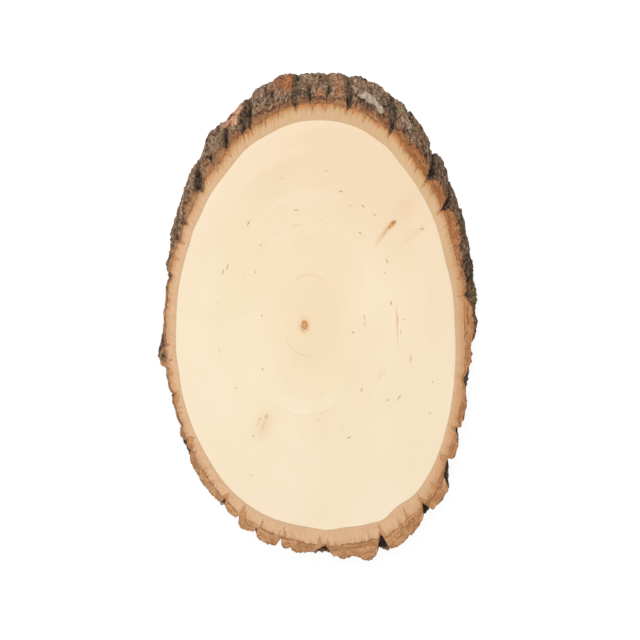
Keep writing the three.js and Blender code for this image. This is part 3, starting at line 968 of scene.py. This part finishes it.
# The moss: a small olive tuft growing in the bark at the right edge, just below the sawn face.
# Every leaf is a thin three-sided blade rooted in the crust and bent a little upward.
# Angle and depth are drawn about a middle, with a spread.
MOSS_BLADES = 260
MOSS_DEGREES = (7, 1.7)
MOSS_DEPTH = (5, 3.0)
MOSS_LENGTH = (0.7, 1.3)
MOSS_WIDTH = 0.28
MOSS_ROOT = 0.3
MOSS_STRAY = 0.7
MOSS_LIFT = Vector((0, 0, 0.3))
MOSS_KNEE = 0.55
MOSS_TAPER = 0.8
MOSS_SEED = 5
MOSS_TINTS = (colour(66, 62, 34), colour(132, 122, 64))

wall_points = np.array([
    log_points(wall_angle[level], wall_radius[level], wall_height[level]) for level in range(DOWN + 1)
])
moss_random = np.random.default_rng(MOSS_SEED)
moss_vertices = []
moss_faces = []
for blade in range(MOSS_BLADES):
    centre = math.radians(moss_random.normal(*MOSS_DEGREES))
    depth = abs(moss_random.normal(*MOSS_DEPTH))
    level = int(np.clip(np.searchsorted(wall_along, depth), 1, DOWN - 1))
    column = int(np.argmin(arc_gap(wall_angle[level], centre)))
    root = Vector(wall_points[level, column])
    beyond = (column + 1) % AROUND
    across = Vector(wall_points[level, beyond] - wall_points[level, column - 1]).normalized()
    down = Vector(wall_points[level + 1, column] - wall_points[level - 1, column]).normalized()
    outward = down.cross(across)
    stray = Vector(moss_random.uniform(-MOSS_STRAY, MOSS_STRAY, 3))
    length = moss_random.uniform(*MOSS_LENGTH)
    grow = (outward + 0.5 * stray).normalized() * length
    bend = (outward + stray + MOSS_LIFT).normalized() * length
    start = len(moss_vertices)
    for corner in range(3):
        turn = math.tau * corner / 3 + blade
        side = (math.cos(turn) * across + math.sin(turn) * down) * MOSS_WIDTH
        moss_vertices.append(root + side - MOSS_ROOT * outward)
        moss_vertices.append(root + MOSS_TAPER * side + MOSS_KNEE * grow)
    tip = len(moss_vertices)
    moss_vertices.append(root + 0.5 * grow + 0.5 * bend)
    for corner in range(3):
        low = start + 2 * corner
        beyond = start + 2 * ((corner + 1) % 3)
        moss_faces.append((low, low + 1, beyond + 1, beyond))
        moss_faces.append((low + 1, tip, beyond + 1))
    moss_faces.append((start, start + 2, start + 4))
moss_mesh = bpy.data.meshes.new("moss_tuft")
moss_mesh.from_pydata([point * MM for point in moss_vertices], [], moss_faces)
moss_piece = bpy.data.objects.new("moss_tuft", moss_mesh)
bpy.context.scene.collection.objects.link(moss_piece)

moss, moss_shader, wire = new_material("olive_moss", roughness=0.9)
x, y, z = wire.place()
leaf = wire.clouds(wire.vector(x, y, z), 1.1, 3.0)
tint = leaf.rise(0.35, 0.65).mix(*MOSS_TINTS)
tint.feed(moss_shader, "Base Color")
moss_mesh.materials.append(moss)
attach(moss_piece, "root")

# The studio: a plain white floor that glows a little, as a light table does, even white surroundings
# and one large soft lamp overhead. The camera looks straight down on the sanded face from 1 m above it.
FLOOR_HALF = 6.0
FLOOR_GAP = 0.0002
FLOOR_CORNERS = ((-1, -1), (1, -1), (1, 1), (-1, 1))
FLOOR_GREY = (0.2, 0.2, 0.2, 1)
FLOOR_GLOW = 0.86
WHITE = (1, 1, 1, 1)
floor_mesh = bpy.data.meshes.new("floor")
floor_points = [(x * FLOOR_HALF, y * FLOOR_HALF, -FLOOR_GAP) for x, y in FLOOR_CORNERS]
floor_mesh.from_pydata(floor_points, [], [(0, 1, 2, 3)])
floor = bpy.data.objects.new("floor", floor_mesh)
bpy.context.scene.collection.objects.link(floor)
floor_material, floor_shader, wire = new_material("white_floor", roughness=0.9)
floor_shader.inputs["Base Color"].default_value = FLOOR_GREY
floor_shader.inputs["Emission Color"].default_value = WHITE
floor_shader.inputs["Emission Strength"].default_value = FLOOR_GLOW
floor_mesh.materials.append(floor_material)

SKY_STRENGTH = 0.77
world = bpy.data.worlds.new("surroundings")
world.use_nodes = True
world.node_tree.nodes["Background"].inputs["Color"].default_value = WHITE
world.node_tree.nodes["Background"].inputs["Strength"].default_value = SKY_STRENGTH
bpy.context.scene.world = world

LAMP_POWER = 8.5
LAMP_SIZE = 1.2
LAMP_PLACE = Vector((-0.3, 0.75, 1.3))
lamp = bpy.data.lights.new("softbox", "AREA")
lamp.energy = LAMP_POWER
lamp.size = LAMP_SIZE
softbox = bpy.data.objects.new("softbox", lamp)
softbox.location = LAMP_PLACE
softbox.rotation_euler = (-LAMP_PLACE).to_track_quat("-Z", "Y").to_euler()
bpy.context.scene.collection.objects.link(softbox)

CAMERA_HEIGHT = 1000
FRAME_WIDTH = 368
CAMERA_RIGHT = 1.7
CAMERA_UP = 2.9
SENSOR_WIDTH = 36
camera = bpy.data.cameras.new("camera")
camera.sensor_width = SENSOR_WIDTH
camera.lens = SENSOR_WIDTH * CAMERA_HEIGHT / FRAME_WIDTH
camera_piece = bpy.data.objects.new("camera", camera)
camera_piece.location = (
    (axis_x + CAMERA_RIGHT) * MM,
    (axis_y + CAMERA_UP) * MM,
    (THICKNESS + CAMERA_HEIGHT) * MM,
)
bpy.context.scene.collection.objects.link(camera_piece)
bpy.context.scene.camera = camera_piece
bpy.context.scene.view_settings.view_transform = "Standard"
